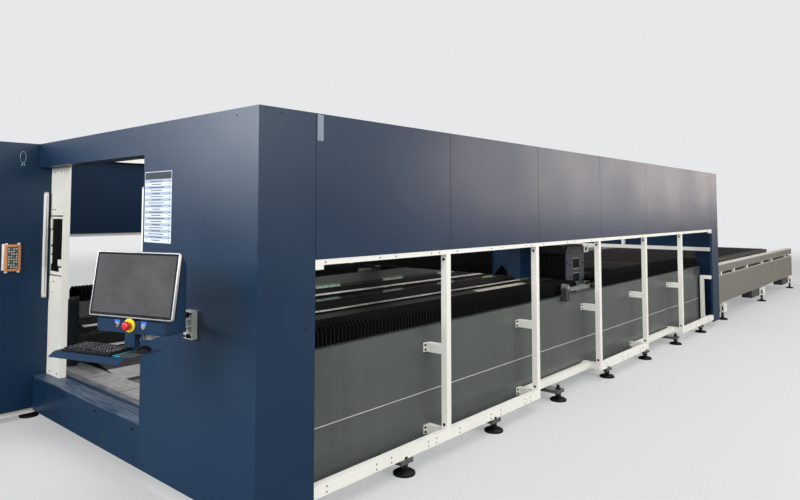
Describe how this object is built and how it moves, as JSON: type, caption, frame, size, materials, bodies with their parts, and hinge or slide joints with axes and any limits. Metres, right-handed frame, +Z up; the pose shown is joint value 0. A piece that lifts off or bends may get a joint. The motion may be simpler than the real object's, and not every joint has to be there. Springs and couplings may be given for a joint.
{
  "type": "fibre laser cutting machine",
  "caption": "Large sheet-metal laser cutting machine: long open-sided enclosure over a bed, gantry and head, corner cabinet, operator console on an arm, and a shuttle table behind.",
  "frame": {"origin": "middle of the footprint, on the floor", "axes": "+X from the operator's end to the shuttle table, +Y from the near long side to the far one, +Z up"},
  "size_m": [15.96, 4.11, 2.31],
  "materials": {
    "navy_powder_coat": "textured powder coat",
    "white_powder_coat": "satin powder coat",
    "bed_grey_paint": "satin paint",
    "table_beige_paint": "satin paint",
    "black_bellows_cloth": "coated cloth",
    "dark_slag_steel": "heat-darkened",
    "black_plastic": "fine texture",
    "silver_paint": "metallic paint",
    "red_plastic": "gloss",
    "orange_plastic": "matte",
    "nozzle_copper": "turned"
  },
  "bodies": {
    "machine": {"bed_front_beam": "bed_grey_paint", "bed_rear_beam": "bed_grey_paint", "bed_side_far": "bed_grey_paint", "bed_side_near": "bed_grey_paint", "bellows_far_front": "black_bellows_cloth", "bellows_far_rear": "black_bellows_cloth", "bellows_near_front": "black_bellows_cloth", "bellows_near_rear": "black_bellows_cloth", "cabinet_body": "navy_powder_coat", "corner_cover": "navy_powder_coat", "door_post": "white_powder_coat", "end_cover_far": "navy_powder_coat", "end_cover_near": "navy_powder_coat", "entry_apron": "navy_powder_coat", "far_cover": "navy_powder_coat", "fascia_near_1": "navy_powder_coat", "fascia_near_2": "navy_powder_coat", "fascia_near_3": "navy_powder_coat", "fascia_near_4": "navy_powder_coat", "fascia_near_5": "navy_powder_coat", "fascia_near_6": "navy_powder_coat", "front_beam": "navy_powder_coat", "front_panel": "navy_powder_coat", "front_sill": "navy_powder_coat", "laser_source": "silver_paint", "light_curtain_far": "white_powder_coat", "light_curtain_near": "white_powder_coat", "rear_frame": "white_powder_coat", "rear_panel": "navy_powder_coat", "remote_control": "orange_plastic", "roof_frame": "white_powder_coat", "side_frame_far": "white_powder_coat", "side_frame_near": "white_powder_coat", "slag_tray": "dark_slag_steel", "table_base": "dark_slag_steel", "table_side_far": "table_beige_paint", "table_side_near": "table_beige_paint", "top_rail_far": "white_powder_coat", "wall_bracket": "white_powder_coat"},
    "cabinet_door": {"cabinet_door": "navy_powder_coat"},
    "gantry": {"gantry_beam": "bed_grey_paint", "gantry_plate_near": "bed_grey_paint", "gantry_plate_far": "bed_grey_paint", "gantry_bellows_near": "black_bellows_cloth", "gantry_bellows_far": "black_bellows_cloth"},
    "head": {"head_saddle": "bed_grey_paint", "head_housing": "navy_powder_coat"},
    "head_lift": {"cutting_head": "silver_paint", "nozzle": "nozzle_copper"},
    "upper_pallet": {"pallet_upper": "dark_slag_steel"},
    "lower_pallet": {"pallet_lower": "dark_slag_steel"},
    "console_arm": {"swing_arm": "white_powder_coat"},
    "console": {"console_housing": "navy_powder_coat", "monitor": "silver_paint", "keyboard_tray": "navy_powder_coat", "keyboard": "black_plastic", "mouse": "black_plastic"},
    "stop_button": {"stop_button": "red_plastic"},
    "selector": {"selector_knob": "black_plastic"},
    "start_button": {"start_button": "silver_paint"}
  },
  "joints": [
    {"name": "gantry_travel", "type": "slide", "parent": "machine", "child": "gantry", "axis": [1, 0, 0], "range_m": [-2.85, 3.05], "deforming": ["bellows_near_front", "bellows_far_front", "bellows_near_rear", "bellows_far_rear"]},
    {"name": "head_travel", "type": "slide", "parent": "gantry", "child": "head", "axis": [0, 1, 0], "range_m": [-0.1, 2.38], "deforming": ["gantry_bellows_near", "gantry_bellows_far"]},
    {"name": "head_lift_travel", "type": "slide", "parent": "head", "child": "head_lift", "axis": [0, 0, 1], "range_m": [-0.11, 0.02]},
    {"name": "upper_pallet_travel", "type": "slide", "parent": "machine", "child": "upper_pallet", "axis": [1, 0, 0], "range_m": [-7.65, 0]},
    {"name": "lower_pallet_travel", "type": "slide", "parent": "machine", "child": "lower_pallet", "axis": [1, 0, 0], "range_m": [-7.65, 0]},
    {"name": "console_arm_swing", "type": "hinge", "parent": "machine", "child": "console_arm", "pos_m": [-7.045, -1.38, 1.075], "axis": [0, 0, 1], "range_deg": [-60, 15]},
    {"name": "console_turn", "type": "hinge", "parent": "console_arm", "child": "console", "pos_m": [-7.3733, -1.6108, 1.12], "axis": [0, 0, 1], "range_deg": [-30, 12]},
    {"name": "cabinet_door_hinge", "type": "hinge", "parent": "machine", "child": "cabinet_door", "pos_m": [-7.955, 1.985, 0.09], "axis": [0, 0, -1], "range_deg": [0, 110]},
    {"name": "stop_button_press", "type": "slide", "parent": "console", "child": "stop_button", "axis": [0.9511, 0.309, 0], "range_m": [0, 0.005]},
    {"name": "selector_turn", "type": "hinge", "parent": "console", "child": "selector", "pos_m": [-7.51872, -1.54346, 1.16], "axis": [0.9511, 0.309, 0], "range_deg": [-45, 45]},
    {"name": "start_button_press", "type": "slide", "parent": "console", "child": "start_button", "axis": [0.9511, 0.309, 0], "range_m": [0, 0.0025], "stiffness_N_per_m": 300}
  ]
}
